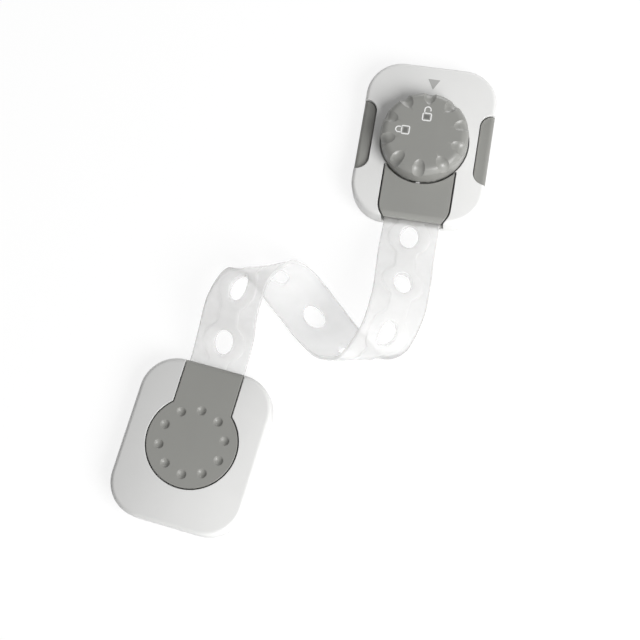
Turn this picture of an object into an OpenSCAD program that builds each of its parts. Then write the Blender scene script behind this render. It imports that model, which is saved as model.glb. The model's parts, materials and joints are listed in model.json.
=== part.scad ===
// Cabinet safety lock: a latch plate with a locking knob and two side buttons,
// an anchor plate with a keyhole cap, and a flexible strap with oval holes between them.
// Millimetres, Z out of the door, origin where the knob's axis meets the latch's pad face.

/* [Plates] */
// Width of both plates
plate_w = 50; // [48:0.5:56]
// Length of the latch plate
latch_l = 62.5; // [61.5:0.5:68]
// Length of the anchor plate
anchor_l = 60; // [59:0.5:66]
// Corner radius of both plates seen from the front
plate_corner = 13.5; // [12:0.5:15]
// Height of a plate from the door to its face
plate_h = 11; // [10.5:0.25:13]
// Rounding of the face edge
edge_round = 1.5; // [0.75:0.25:2]
// Wall thickness of the housings
wall = 2.2; // [1.8:0.1:2.4]
// Thickness of the latch housing's face
face_t = 3; // [2.6:0.1:3.2]
// Thickness of the back plates
back_t = 2.5; // [2:0.1:2.8]
// Thickness of the adhesive pads
pad_t = 1; // [0.6:0.1:1.2]
// Inset of the pads from the outline
pad_inset = 1.2; // [0.6:0.1:2.5]
// Step from the housings in to the back plates at the seam
seam_step = 0.3; // [0.1:0.1:0.5]

/* [Layout] */
// Anchor cap's centre, left of the knob's axis
anchor_left = 65.6; // [60:0.1:72]
// Anchor cap's centre, below the knob's axis
anchor_below = 127; // [122:0.5:134]
// Turn of the anchor plate in degrees
anchor_turn = -6.6; // [-12:0.2:0]
// Anchor plate's centre, behind the cap's centre
anchor_back = 1; // [0:0.25:2]

/* [Knob] */
// Knob's diameter at its foot
knob_d = 33; // [32.2:0.2:33.6]
// Knob's diameter at its shoulder
knob_top_d = 33; // [32:0.2:33]
// Knob's height above the face
knob_rise = 9.5; // [8.5:0.25:10.5]
// Rounding of the knob's shoulder
knob_round = 3; // [2.5:0.25:3.5]
// Number of finger scallops round the knob
scallop_count = 10; // [8:1:12]
// Diameter of a finger scallop
scallop_d = 4.8; // [4:0.2:5.4]
// Reach of a finger scallop over the knob's top
scallop_in = 5.5; // [4.5:0.25:6]
// Reach of a finger scallop down the knob's side
scallop_down = 4; // [3.4:0.2:4.2]
// Depth of the well that the knob sits in
well_depth = 1; // [0.8:0.1:1.2]
// Gap round the knob's foot
well_gap = 0.4; // [0.3:0.05:0.5]
// Diameter of the knob's hub
hub_d = 12; // [11:0.5:12.5]
// Play of the hub in its bore, on the radius
hub_play = 0.05; // [0.02:0.01:0.1]
// Turn of the knob from open to locked in degrees
knob_travel = 90; // [80:5:90]

/* [Lock cam and fork] */
// Length of the cam, which blocks the fork when turned across
cam_l = 17.6; // [17:0.1:17.8]
// Width of the cam, which lets the fork close
cam_w = 12; // [11:0.5:12.5]
// Outer distance across the fork's arms
fork_w = 22.4; // [22.2:0.1:22.8]
// Thickness of a fork arm
fork_arm = 2; // [1.8:0.1:2.1]
// Height of the fork
fork_h = 2.6; // [2.2:0.1:2.8]
// Reach of the barbs beyond the arms
barb_reach = 1.6; // [1.2:0.1:1.8]

/* [Buttons] */
// Length of a button along the plate's side
button_l = 28; // [26:0.5:29]
// Width of a button seen from the front
button_show = 5; // [4:0.25:5.5]
// Corner radius of a button seen from the front
button_corner = 4.5; // [3:0.25:5]
// Travel of a button
button_travel = 2.2; // [1.8:0.1:2.3]
// Gap round a button
button_gap = 0.2; // [0.15:0.05:0.3]
// Thickness of the lip that a button slides under
button_lip = 1.2; // [1:0.1:1.3]
// Turns of a button spring
spring_turns = 4; // [3:1:5]
// Wire of a button spring
spring_wire = 0.5; // [0.4:0.05:0.5]

/* [Tongue] */
// Width of the tongue
tongue_w = 26.4; // [26.2:0.1:27.4]
// Rounding of the tongue's shoulders, which carry the pull
shoulder_round = 7.5; // [6.5:0.25:8]
// Gap round the tongue
tongue_gap = 0.6; // [0.4:0.05:0.7]
// Gap between the tongue's horns and the knob's well
horn_gap = 0.2; // [0.15:0.05:0.4]
// Thickness of the tongue's cover and of the anchor's cap
cover_t = 1.9; // [1.7:0.1:2.1]

/* [Strap] */
// Width of the strap
strap_w = 21; // [20.4:0.1:21.2]
// Thickness of the strap over its raised band
strap_t = 2; // [1.7:0.1:2.2]
// Height of the raised band
band_t = 0.5; // [0.3:0.05:0.6]
// Distance between hole centres
hole_pitch = 22.2; // [21.6:0.1:22.6]
// Length of a hole along the strap
hole_l = 10; // [9.6:0.2:10.4]
// Width of a hole across the strap
hole_w = 6.8; // [6.4:0.1:7.2]
// First hole's centre, outside the anchor's mouth
hole_first = 10.6; // [10.2:0.1:11]
// Gap between the strap and what holds it
strap_gap = 0.1; // [0.05:0.05:0.15]
// Rise of the strap's curl above its ends
curl_rise = 15; // [13:0.5:17]

/* [Anchor cap] */
// Diameter of the cap's round part
cap_d = 33.4; // [33:0.2:34]
// Width of the cap's neck
cap_neck = 21.8; // [21.6:0.1:22.4]
// Gap round the cap
cap_gap = 0.5; // [0.35:0.05:0.6]
// Number of dimples
dimple_count = 10; // [6:1:12]
// Diameter of the circle that the dimples lie on
dimple_ring = 24; // [22:0.5:25]
// Diameter of a dimple
dimple_d = 3.4; // [2.6:0.2:4.2]
// Depth of a dimple
dimple_depth = 0.9; // [0.5:0.1:1]

/* [Screws] */
// Diameter of the plate screws
screw_d = 2.2; // [2:0.1:2.4]
// Head diameter of the plate screws
screw_head = 4.2; // [3.8:0.1:4.4]

/* [Hidden] */

$fn = 48;
over = 1;
white = [0.93, 0.93, 0.92];
grey = [0.42, 0.42, 0.4];
steel = [0.7, 0.71, 0.73];
milky = [0.88, 0.9, 0.88];
foam = [0.97, 0.97, 0.97];

// Heights, from the door outwards
face_z = plate_h;
seam_z = pad_t + back_t;
ceiling_z = face_z - face_t;
well_z = face_z - well_depth;
cover_z = face_z - cover_t;
strap_z = cover_z - strap_gap - strap_t / 2;
bed_z = cover_z - strap_t - 2 * strap_gap;
bay_z = face_z - button_lip;
knob_z = face_z + knob_rise;
play = 0.2;
fork_z = seam_z + play;
fork_top = fork_z + fork_h;
cam_top = ceiling_z - play;

// Latch
latch_half = latch_l / 2;
well_r = knob_d / 2 + well_gap;
bore_r = hub_d / 2 + hub_play;
rim_w = 3;
track_r = knob_d / 2 - rim_w / 2;
track_w = 2.6;
track_depth = 0.9;
groove_r = knob_d / 2 - well_gap;
groove_depth = 1.1;
nib_w = 1.5;
nib_t = 0.5;
nib_out = well_r - play / 2;
pin_d = 2;
pin_angle = -45;
click_l = 9;
click_w = 2.4;
click_t = 0.4;
click_bump = 0.8;
click_z = well_z;
drive_w = 7;
cam_screw_d = 2.5;
cam_head_d = 5;
cam_head_t = 1.2;
arm_out = fork_w / 2;
arm_in = arm_out - fork_arm;
fork_root_end = 13.75;
fork_root_l = 5;
fork_root_y = latch_half - fork_root_end;
tongue_body = 11.85;
body_top = -latch_half + tongue_body;
fork_past = 1.2;
fork_tip_y = body_top + fork_past;
barb_l = 3;
barb_t = 1.2;
post_x = 6.5;
post_d = 3;
post_y = fork_root_y + fork_root_l / 2;
boss_side = 6.4;
boss_end = 8.7;
boss_x = plate_w / 2 - boss_side;
boss_y = latch_half - boss_end;
boss_d = 5.8;
head_t = 1.2;
screw_play = 0.05;
countersink = head_t + play;

// Buttons
side_x = plate_w / 2;
button_ledge = 1;
button_in = button_show + button_ledge;
button_top = bay_z - button_gap;
button_inset = 0.15;
button_step = 0.8;
button_low = seam_z + play;
wing_l = 1.8;
wing_t = 1.6;
wing_x = side_x - wall - button_gap;
nose_w = 6;
nose_x = arm_out + play;
bay_x = side_x - button_in - button_travel - play;
spring_y = 9.5;
spring_d = 3.4;
button_skin = 2.5;
pocket_wall = 0.4;
pocket_d = spring_d + 2 * play;
pocket_x = side_x - button_skin;
rib_t = 1.2;
rib_gap = 1;
rib_x = nose_x + rib_gap;
seat_gap = 0.1;
spring_l = pocket_x - rib_x - rib_t - 2 * seat_gap;
spring_z = button_low + pocket_wall + pocket_d / 2;
spring_rings = 8;
spring_sides = 6;

// Tongue
tongue_half = tongue_w / 2;
tongue_past = 2;
tongue_end = latch_half + tongue_past;
tongue_l = 20.7;
tongue_top = -latch_half + tongue_l;
tongue_low = seam_z + play;
front_round = 4;
front_l = 2.6;
front_lift = 0.05;
tab_l = 4.8;
tab_top = body_top + tab_l;
tab_w = 1.6;
tab_z = fork_top - barb_t - play;
eye_in = 5.8;
peg_play = 0.6;
peg_w = hole_w - 2 * peg_play;
peg_l = hole_l - 2 * peg_play;
tongue_screw_y = 2.2;
tongue_screw_d = 2;
tongue_head_d = 3.6;
tongue_head_t = 1;
tongue_screw_top = cover_z + cover_t / 2;

// Anchor
anchor_top = anchor_l / 2 - anchor_back;
cap_r = cap_d / 2;
skirt_t = 1.6;
pocket_r = cap_r + cap_gap;
neck_half = cap_neck / 2 + cap_gap;
floor_t = 1.5;
bed_wall = 1.6;
anchor_boss_y = anchor_l / 2 - boss_end;

// Strap route. Each row is a station of the curl between the two mouths: shares of the reach across
// and up, a share of the curl's rise, and the turn and lean of the strap's width in degrees.
strap_shares = [
    [0.00, 0.00, 0.00, anchor_turn, 0],
    [0.03, 0.17, 0.33, -9, -2],
    [0.06, 0.33, 0.89, -17, 11],
    [0.12, 0.51, 0.90, -11, 29],
    [0.23, 0.58, 0.27, 20, 33],
    [0.38, 0.50, -0.27, 45, 11],
    [0.53, 0.37, -0.36, 46, -4],
    [0.69, 0.24, -0.12, 41, -21],
    [0.84, 0.165, 0.41, 20, -41],
    [0.96, 0.25, 0.97, -10, -37],
    [1.01, 0.44, 0.96, -12, -21],
    [1.01, 0.62, 0.57, -5, -13],
    [1.00, 0.80, 0.20, 0, -8],
    [1.00, 1.00, 0.00, 0, 0]
];
end_pull_share = 1.9;
hole_land = 1.2;
eye_land = 1.8;
tail_room = anchor_top + cap_r - skirt_t - cap_gap;
holes_inside = floor((tail_room + hole_first - hole_l / 2 - hole_land) / hole_pitch);
strap_tail = holes_inside * hole_pitch - hole_first + hole_l / 2 + hole_land;
strap_inner = eye_in + hole_l / 2 + eye_land;
tail_round = 3;
band_ring_share = 0.75;
band_neck_share = 0.37;
band_fillet = 0.9;
band_slope = 0.5;
band_margin = 0.8;
route_steps = 10;
hole_steps = 8;
land_steps = 3;

anchor_dir = [-sin(anchor_turn), cos(anchor_turn)];
mouth_a = [-anchor_left + anchor_top * anchor_dir[0], -anchor_below + anchor_top * anchor_dir[1], strap_z];
mouth_b = [0, -latch_half, strap_z];
reach = mouth_b - mouth_a;
last_station = len(strap_shares) - 1;
station_gap = norm(reach) / last_station * end_pull_share;
dir_a = [anchor_dir[0], anchor_dir[1], 0];
dir_b = [0, 1, 0];

function station(i) = [mouth_a[0] + strap_shares[i][0] * reach[0],
                       mouth_a[1] + strap_shares[i][1] * reach[1],
                       mouth_a[2] + strap_shares[i][2] * curl_rise];
function slope_at(i) = i == 0 ? dir_a * station_gap
    : i == last_station ? dir_b * station_gap
    : (station(i + 1) - station(i - 1)) / 2;
function angle_slope(i, k) = i == 0 || i == last_station ? 0
    : (strap_shares[i + 1][k] - strap_shares[i - 1][k]) / 2;
function hermite(p, q, a, b, t) = p * (2 * t * t * t - 3 * t * t + 1) + q * (3 * t * t - 2 * t * t * t)
    + a * (t * t * t - 2 * t * t + t) + b * (t * t * t - t * t);
function curl_row(i, t) = concat(
    hermite(station(i), station(i + 1), slope_at(i), slope_at(i + 1), t),
    [for (k = [3, 4]) hermite(strap_shares[i][k], strap_shares[i + 1][k],
                              angle_slope(i, k), angle_slope(i + 1, k), t)]);
curl_rows = concat(
    [for (i = [0 : last_station - 1]) for (j = [0 : route_steps - 1]) curl_row(i, j / route_steps)],
    [curl_row(last_station - 1, 1)]);
function place_of(row) = [row[0], row[1], row[2]];
function step_length(i) = norm(place_of(curl_rows[i]) - place_of(curl_rows[i - 1]));
function lengths(i = 1, sums = [0]) = i == len(curl_rows) ? sums
    : lengths(i + 1, concat(sums, [sums[i - 1] + step_length(i)]));
curl_sums = lengths();
curl_len = curl_sums[len(curl_sums) - 1];
last_curl = len(curl_rows) - 1;
low_run = strap_tail + over;
high_run = strap_inner + over;
route_tables = [for (k = [0 : 4]) let (first = curl_rows[0][k], last = curl_rows[last_curl][k]) concat(
    [[-low_run, k < 3 ? first - dir_a[k] * low_run : first]],
    [for (i = [0 : last_curl]) [curl_sums[i], curl_rows[i][k]]],
    [[curl_len + high_run, k < 3 ? last + dir_b[k] * high_run : last]])];
function route(u) = [for (k = [0 : 2]) lookup(u, route_tables[k])];
function unit(v) = v / norm(v);
frame_step = 0.6;
function along(u) = unit(route(u + frame_step) - route(u - frame_step));
function width_guess(u) = let (a = lookup(u, route_tables[3]), e = lookup(u, route_tables[4]))
    [cos(e) * cos(a), cos(e) * sin(a), sin(e)];
function across(u) = let (t = along(u), b = width_guess(u)) unit(b - t * (b * t));

holes_outside = 1 + floor((curl_len + eye_in - hole_l - hole_land - hole_first) / hole_pitch);
hole_list = concat(
    [for (k = [-holes_inside : holes_outside - 1]) hole_first + k * hole_pitch],
    [curl_len + eye_in]);
hole_last = len(hole_list) - 1;
function hole_near(u) = min([for (c = hole_list) abs(u - c)]);
function end_dip(d) = d >= tail_round ? 0
    : tail_round - sqrt(max(0, pow(tail_round, 2) - pow(tail_round - d, 2)));
function half_width(u) = strap_w / 2 - end_dip(u + strap_tail) - end_dip(curl_len + strap_inner - u);
function band_half(u) = let (
    r = band_ring_share * strap_w / 2, n = band_neck_share * strap_w / 2,
    c = sqrt(max(0, r * r - pow(hole_near(u), 2))))
    min((c + n + sqrt(pow(c - n, 2) + pow(band_fillet, 2))) / 2, half_width(u) - band_margin);
function lands(a, b) = [for (i = [1 : land_steps]) [a + (b - a) * i / (land_steps + 1), 0]];
function end_rows(a, b) = [for (i = [0 : land_steps + 1]) [a + (b - a) * pow(i / (land_steps + 2), 2), 0]];
function hole_rows(c) = [for (i = [0 : hole_steps]) let (a = 180 * i / hole_steps)
    [c - hole_l / 2 * cos(a), i == 0 || i == hole_steps ? 0 : hole_w / 2 * sin(a)]];
strap_low_u = -strap_tail;
strap_high_u = curl_len + strap_inner;
strap_rows = concat(
    end_rows(strap_low_u, hole_list[0] - hole_l / 2),
    [for (k = [0 : hole_last]) each concat(hole_rows(hole_list[k]),
        k == hole_last ? [] : lands(hole_list[k] + hole_l / 2, hole_list[k + 1] - hole_l / 2))],
    [for (r = [land_steps + 1 : -1 : 0]) end_rows(strap_high_u, hole_list[hole_last] + hole_l / 2)[r]]);
row_size = 12;
function row_points(row) = let (
    u = row[0], h = row[1], p = route(u), b = across(u), n = cross(b, along(u)),
    e = half_width(u), f = band_half(u), t = f - band_slope,
    low = -strap_t / 2, mid = strap_t / 2 - band_t, top = strap_t / 2)
    [for (q = [[-e, mid], [-f, mid], [-t, top], [-h, top], [h, top], [t, top],
               [f, mid], [e, mid], [e, low], [h, low], [-h, low], [-e, low]]) p + q[0] * b + q[1] * n];
function slot_of(i, k) = row_size * i + (strap_rows[i][1] > 0 ? k : k == 4 ? 3 : k == 9 ? 10 : k);
function strip(i, a, b) = [
    [slot_of(i, a), slot_of(i + 1, a), slot_of(i + 1, b)],
    [slot_of(i, a), slot_of(i + 1, b), slot_of(i, b)]];
skin_pairs = [[0, 1], [1, 2], [2, 3], [4, 5], [5, 6], [6, 7], [7, 8], [8, 9], [10, 11], [11, 0]];
hole_pairs = [[3, 10], [9, 4]];
end_loop = [11, 0, 1, 2, 3, 5, 6, 7, 8];
last_row = len(strap_rows) - 1;
strap_faces = concat(
    [for (i = [0 : last_row - 1]) for (p = skin_pairs) each strip(i, p[0], p[1])],
    [for (i = [0 : last_row - 1]) if (strap_rows[i][1] + strap_rows[i + 1][1] > 0)
        for (p = hole_pairs) each strip(i, p[0], p[1])],
    [for (k = [0 : len(end_loop) - 2]) [for (s = [10, end_loop[k], end_loop[k + 1]]) slot_of(0, s)]],
    [for (k = [0 : len(end_loop) - 2]) [for (s = [10, end_loop[k + 1], end_loop[k]]) slot_of(last_row, s)]]);
echo(strap_length_between_mouths = curl_len, strap_triangles = len(strap_faces));

// Outlines

module plate_plan(l, inset) {
    w = plate_w - 2 * inset;
    h = l - 2 * inset;
    r = plate_corner - inset;
    square([w - 2 * r, h], center = true);
    square([w, h - 2 * r], center = true);
    for (x = [-1, 1]) {
        for (y = [-1, 1]) {
            translate([x * (w / 2 - r), y * (h / 2 - r)]) circle(r);
        }
    }
}

module side_plan(w, h) {
    translate([-w / 2 + edge_round, 0]) square([w - 2 * edge_round, h]);
    translate([-w / 2, 0]) square([w, h - edge_round]);
    for (x = [-1, 1]) {
        translate([x * (w / 2 - edge_round), h - edge_round]) circle(edge_round);
    }
}

module corner_plan(h) {
    square([plate_corner - edge_round, h]);
    square([plate_corner, h - edge_round]);
    translate([plate_corner - edge_round, h - edge_round]) circle(edge_round);
}

module stadium(w, l) {
    square([w, l - w], center = true);
    for (y = [-1, 1]) {
        translate([0, y * (l - w) / 2]) circle(w / 2);
    }
}

module keyhole_plan(r, half) {
    circle(r);
    translate([-half, 0]) square([2 * half, anchor_top + over]);
}

module tongue_plan(grow, knob_clear) {
    r = shoulder_round + grow;
    half = tongue_half + grow;
    low = tongue_end + grow;
    difference() {
        union() {
            translate([-half, -low + r]) square([2 * half, low - r]);
            translate([-half + r, -low]) square([2 * half - 2 * r, low]);
            for (x = [-1, 1]) {
                translate([x * (half - r), -low + r]) circle(r);
            }
        }
        circle(knob_clear);
        translate([-plate_w / 2, tongue_top]) square([plate_w, latch_l]);
    }
}

module button_plan(grow) {
    r = button_corner + grow;
    half = button_l / 2 + grow;
    deep = button_show + grow;
    translate([-side_x - over, -half]) square([deep + over - r, 2 * half]);
    translate([-side_x - over, -half + r]) square([deep + over, 2 * half - 2 * r]);
    for (y = [-1, 1]) {
        translate([-side_x + deep - r, y * (half - r)]) circle(r);
    }
}

// Solids used more than once

module slab(l, low, high) {
    h = high - low;
    translate([0, 0, low]) {
        rotate([90, 0, 0]) linear_extrude(l - 2 * plate_corner, center = true) side_plan(plate_w, h);
        rotate([90, 0, 90]) linear_extrude(plate_w - 2 * plate_corner, center = true) side_plan(l, h);
        for (x = [-1, 1]) {
            for (y = [-1, 1]) {
                translate([x * (plate_w / 2 - plate_corner), y * (l / 2 - plate_corner), 0])
                    rotate_extrude() corner_plan(h);
            }
        }
    }
}

module raise(low, high) {
    translate([0, 0, low]) linear_extrude(high - low) children();
}

module post(d, low, high) {
    translate([0, 0, low]) cylinder(d = d, h = high - low);
}

module at_bosses(x, y) {
    for (sx = [-1, 1]) {
        for (sy = [-1, 1]) {
            translate([sx * x, sy * y, 0]) children();
        }
    }
}

module plate_screw() {
    post(screw_head, pad_t + play, pad_t + play + head_t);
    post(screw_d, pad_t + play, ceiling_z - play);
}

module plate_screw_hole() {
    post(screw_head + 2 * play, pad_t - over, pad_t + countersink);
    post(screw_d + 2 * screw_play, pad_t - over, seam_z + over);
}

module place_anchor() {
    translate([-anchor_left, -anchor_below, 0]) rotate(anchor_turn) children();
}

module anchor_centre() {
    translate([0, -anchor_back, 0]) children();
}

// Latch plate

module latch_adhesive_pad() {
    color(foam) raise(0, pad_t) plate_plan(latch_l, pad_inset);
}

module latch_back_plate() {
    color(white) {
        difference() {
            raise(pad_t, seam_z) plate_plan(latch_l, seam_step);
            at_bosses(boss_x, boss_y) plate_screw_hole();
        }
        for (x = [-1, 1]) {
            translate([x * post_x, post_y, 0]) post(post_d, seam_z - back_t / 2, fork_top);
            translate([x * (rib_x + rib_t / 2), spring_y, 0])
                raise(seam_z - back_t / 2, spring_z + spring_d / 2) square([rib_t, spring_d], center = true);
        }
    }
}

module button_bay() {
    raise(bay_z - over, face_z + over) button_plan(button_gap);
    translate([-side_x - over, -button_l / 2 - button_gap, seam_z - over])
        cube([side_x - bay_x + over, button_l + 2 * button_gap, bay_z - seam_z + over]);
}

module knob_track() {
    turn = pin_angle - knob_travel;
    rotate(turn) rotate_extrude(angle = knob_travel)
        translate([track_r - track_w / 2, well_z - track_depth]) square([track_w, track_depth + over]);
    for (a = [turn, pin_angle]) {
        rotate(a) translate([track_r, 0, 0]) post(track_w, well_z - track_depth, well_z + over);
    }
}

module latch_housing() {
    color(white) difference() {
        union() {
            difference() {
                slab(latch_l, seam_z, face_z);
                raise(seam_z - over, ceiling_z) plate_plan(latch_l, wall);
            }
            intersection() {
                at_bosses(boss_x, boss_y) post(boss_d, seam_z, ceiling_z + face_t / 2);
                slab(latch_l, seam_z, face_z);
            }
        }
        post(2 * well_r, well_z, face_z + over);
        post(2 * bore_r, ceiling_z - over, face_z);
        raise(well_z - groove_depth, well_z + over) difference() {
            circle(well_r);
            circle(groove_r);
            translate([-nib_w / 2, -nib_out]) square([nib_w, nib_t]);
        }
        knob_track();
        translate([0, track_r, 0]) raise(well_z - track_depth, well_z + over)
            square([click_l + 2 * play, click_w + 2 * play], center = true);
        raise(seam_z - over, face_z + over) difference() {
            tongue_plan(tongue_gap, groove_r);
            translate([-nib_w / 2, -nib_out]) square([nib_w, nib_out]);
        }
        button_bay();
        mirror([1, 0, 0]) button_bay();
        at_bosses(boss_x, boss_y) post(screw_d + 2 * screw_play, seam_z - over, ceiling_z);
    }
}

module latch_screws() {
    color(steel) at_bosses(boss_x, boss_y) plate_screw();
}

module knob_profile() {
    low = well_z + play;
    foot = knob_d / 2;
    top = knob_top_d / 2;
    hub_wall = hub_d / 2 + rim_w / 2;
    roof = knob_z - rim_w;
    difference() {
        union() {
            polygon([[0, low], [foot, low], [top, knob_z - knob_round],
                     [top - knob_round, knob_z - knob_round], [top - knob_round, knob_z], [0, knob_z]]);
            translate([top - knob_round, knob_z - knob_round]) intersection() {
                circle(knob_round);
                square(knob_round);
            }
        }
        polygon([[hub_wall, low - over], [hub_wall, roof], [top - rim_w, roof], [foot - rim_w, low],
                 [foot - rim_w, low - over]]);
    }
}

module scallop() {
    slope = atan2(scallop_down, scallop_in);
    r = scallop_d / 2;
    translate([0, (knob_top_d - scallop_in) / 2 + r * sin(slope), knob_z - scallop_down / 2 + r * cos(slope)])
        rotate([90 - slope, 0, 0]) cylinder(r = r, h = 2 * scallop_in, center = true);
}

module knob() {
    color(grey) difference() {
        union() {
            rotate_extrude() knob_profile();
            post(hub_d, ceiling_z, well_z + play);
            raise(cam_top - fork_h, ceiling_z + over) square(drive_w, center = true);
            rotate(pin_angle) translate([track_r, 0, 0])
                post(pin_d, well_z - track_depth + play, well_z + over);
        }
        for (i = [0 : scallop_count - 1]) {
            rotate(i * 360 / scallop_count) scallop();
        }
        for (a = [0, knob_travel]) {
            rotate(a) translate([0, track_r, click_z]) rotate([90, 0, 0])
                cylinder(r = click_bump + play, h = 2 * rim_w, center = true);
        }
        post(cam_screw_d + 2 * screw_play, ceiling_z - cam_l, well_z + rim_w);
    }
}

module lock_cam() {
    low = seam_z + play;
    color(grey) difference() {
        raise(low, cam_top) intersection() {
            circle(d = cam_l);
            square([cam_w, cam_l], center = true);
        }
        raise(cam_top - fork_h - play, cam_top + over) square(drive_w + play, center = true);
        post(cam_screw_d + 2 * screw_play, low - over, cam_top);
        post(cam_head_d + play, low - over, low + cam_head_t);
    }
}

module cam_screw() {
    color(steel) {
        post(cam_head_d, seam_z + play, seam_z + play + cam_head_t - play / 2);
        post(cam_screw_d, seam_z + play, well_z + rim_w - play);
    }
}

module detent_spring() {
    low = well_z - track_depth;
    color(steel) translate([0, track_r + click_w / 2, 0]) rotate([90, 0, 0]) linear_extrude(click_w) {
        polygon([[-click_l / 2, low], [click_l / 2, low], [click_l / 2, low + click_t],
                 [click_bump, click_z], [-click_bump, click_z],
                 [-click_l / 2, low + click_t]]);
        translate([0, click_z]) intersection() {
            circle(click_bump);
            translate([-click_bump, -click_bump / 2]) square(2 * click_bump);
        }
    }
}

module latch_fork() {
    color(milky) difference() {
        union() {
            translate([-arm_out, fork_root_y, fork_z]) cube([2 * arm_out, fork_root_l, fork_h]);
            for (m = [0, 1]) mirror([m, 0, 0]) {
                translate([arm_in, fork_tip_y, fork_z])
                    cube([fork_arm, fork_root_y - fork_tip_y + over, fork_h]);
                translate([arm_in, fork_tip_y, fork_top - barb_t])
                    cube([fork_arm + barb_reach, barb_l, barb_t]);
            }
        }
        for (x = [-1, 1]) {
            translate([x * post_x, post_y, 0]) post(post_d + 2 * screw_play, seam_z, fork_top + over);
        }
    }
}

module left_button() {
    half = button_l / 2;
    deep = button_in - wing_t;
    color(grey) difference() {
        union() {
            intersection() {
                union() {
                    translate([-side_x, -half, button_low])
                        cube([button_in, button_l, button_top - button_step - button_low]);
                    raise(button_low, button_top) button_plan(-button_inset);
                }
                slab(latch_l, seam_z - over, button_top);
            }
            translate([-wing_x, -half - wing_l, button_low])
                cube([wing_t, button_l + 2 * wing_l, ceiling_z - play - button_low]);
            translate([-side_x + deep, -nose_w / 2, button_low])
                cube([side_x - deep - nose_x, nose_w, fork_h]);
        }
        translate([-pocket_x, spring_y, spring_z]) rotate([0, 90, 0]) cylinder(d = pocket_d, h = button_in);
    }
}

module right_button() {
    mirror([1, 0, 0]) left_button();
}

spring_last = spring_turns * spring_rings;
function spring_point(i, k) = let (
    a = 360 * i / spring_rings, r = (spring_d - spring_wire) / 2,
    x = spring_wire / 2 + (spring_l - spring_wire) * i / spring_last,
    c = 360 * k / spring_sides, q = spring_wire / 2)
    [x + q * sin(c), (r + q * cos(c)) * cos(a), (r + q * cos(c)) * sin(a)];
spring_points = [for (i = [0 : spring_last]) for (k = [0 : spring_sides - 1]) spring_point(i, k)];
spring_faces = concat(
    [for (i = [0 : spring_last - 1]) for (k = [0 : spring_sides - 1]) let (m = (k + 1) % spring_sides) each [
        [i * spring_sides + k, i * spring_sides + m, (i + 1) * spring_sides + k],
        [i * spring_sides + m, (i + 1) * spring_sides + m, (i + 1) * spring_sides + k]]],
    [for (k = [1 : spring_sides - 2]) [0, k + 1, k]],
    [for (k = [1 : spring_sides - 2]) let (s = spring_last * spring_sides) [s, s + k, s + k + 1]]);
echo(button_spring_gap = (spring_l - spring_wire) / spring_turns - spring_wire);

module right_button_spring() {
    color(steel) translate([rib_x + rib_t + seat_gap, spring_y, spring_z])
        polyhedron(spring_points, spring_faces);
}

module left_button_spring() {
    mirror([1, 0, 0]) right_button_spring();
}

// Tongue

module tongue_cover() {
    skirt = (tongue_w - strap_w) / 2 - play;
    color(grey) {
        difference() {
            intersection() {
                raise(cover_z, face_z) tongue_plan(0, well_r + horn_gap);
                slab(latch_l, seam_z, face_z);
            }
            tongue_front();
            at_tongue_screws()
                post(tongue_screw_d + 2 * screw_play, cover_z - over, tongue_screw_top + play / 2);
        }
        for (x = [-1, 1]) {
            translate([x * (tongue_half - skirt / 2), (body_top - latch_half + shoulder_round) / 2, 0])
                raise(bed_z, cover_z) square([skirt, latch_half - shoulder_round + body_top], center = true);
        }
    }
}

module tongue_front() {
    translate([0, front_l - latch_half, face_z - front_round + front_lift]) difference() {
        translate([-plate_w / 2, -front_l - over, 0]) cube([plate_w, front_l + over, front_round + over]);
        rotate([0, 90, 0]) cylinder(r = front_round, h = 2 * plate_w, center = true);
    }
}

module at_tongue_screws() {
    for (y = [-1, 1]) {
        translate([0, -latch_half + eye_in + y * tongue_screw_y, 0]) children();
    }
}

module tongue_base() {
    color(grey) difference() {
        union() {
            intersection() {
                raise(tongue_low, bed_z) tongue_plan(0, well_r + horn_gap);
                translate([-plate_w / 2, -latch_half, 0]) cube([plate_w, latch_half + body_top, face_z]);
            }
            for (m = [0, 1]) mirror([m, 0, 0]) {
                translate([tongue_half - tab_w, body_top - over, tongue_low])
                    cube([tab_w, tab_top - body_top + over, tab_z - tongue_low]);
            }
            translate([0, -latch_half + eye_in, 0])
                raise(bed_z - over, cover_z - strap_gap) stadium(peg_w, peg_l);
        }
        at_tongue_screws() {
            post(tongue_screw_d + 2 * screw_play, seam_z, face_z);
            post(tongue_head_d + play, seam_z, tongue_low + tongue_head_t + play / 2);
        }
    }
}

module tongue_screws() {
    color(steel) at_tongue_screws() {
        post(tongue_head_d, tongue_low + play / 2, tongue_low + tongue_head_t);
        post(tongue_screw_d, tongue_low + play / 2, tongue_screw_top);
    }
}

// Strap

module strap() {
    color(milky) polyhedron([for (row = strap_rows) each row_points(row)], strap_faces);
}

// Anchor plate

module skirt_plan() {
    difference() {
        circle(cap_r);
        circle(cap_r - skirt_t);
        translate([-cap_neck / 2, 0]) square([cap_neck, cap_d]);
    }
}

module anchor_cap() {
    color(grey) place_anchor() difference() {
        union() {
            intersection() {
                raise(cover_z, face_z) keyhole_plan(cap_r, cap_neck / 2);
                anchor_centre() slab(anchor_l, seam_z, face_z);
            }
            raise(bed_z, cover_z) skirt_plan();
        }
        for (i = [0 : dimple_count - 1]) {
            rotate(i * 360 / dimple_count) translate([0, dimple_ring / 2, face_z - dimple_depth]) dimple();
        }
    }
}

module dimple() {
    r = (dimple_d * dimple_d / 4 + dimple_depth * dimple_depth) / (2 * dimple_depth);
    translate([0, 0, r]) sphere(r);
}

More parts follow.
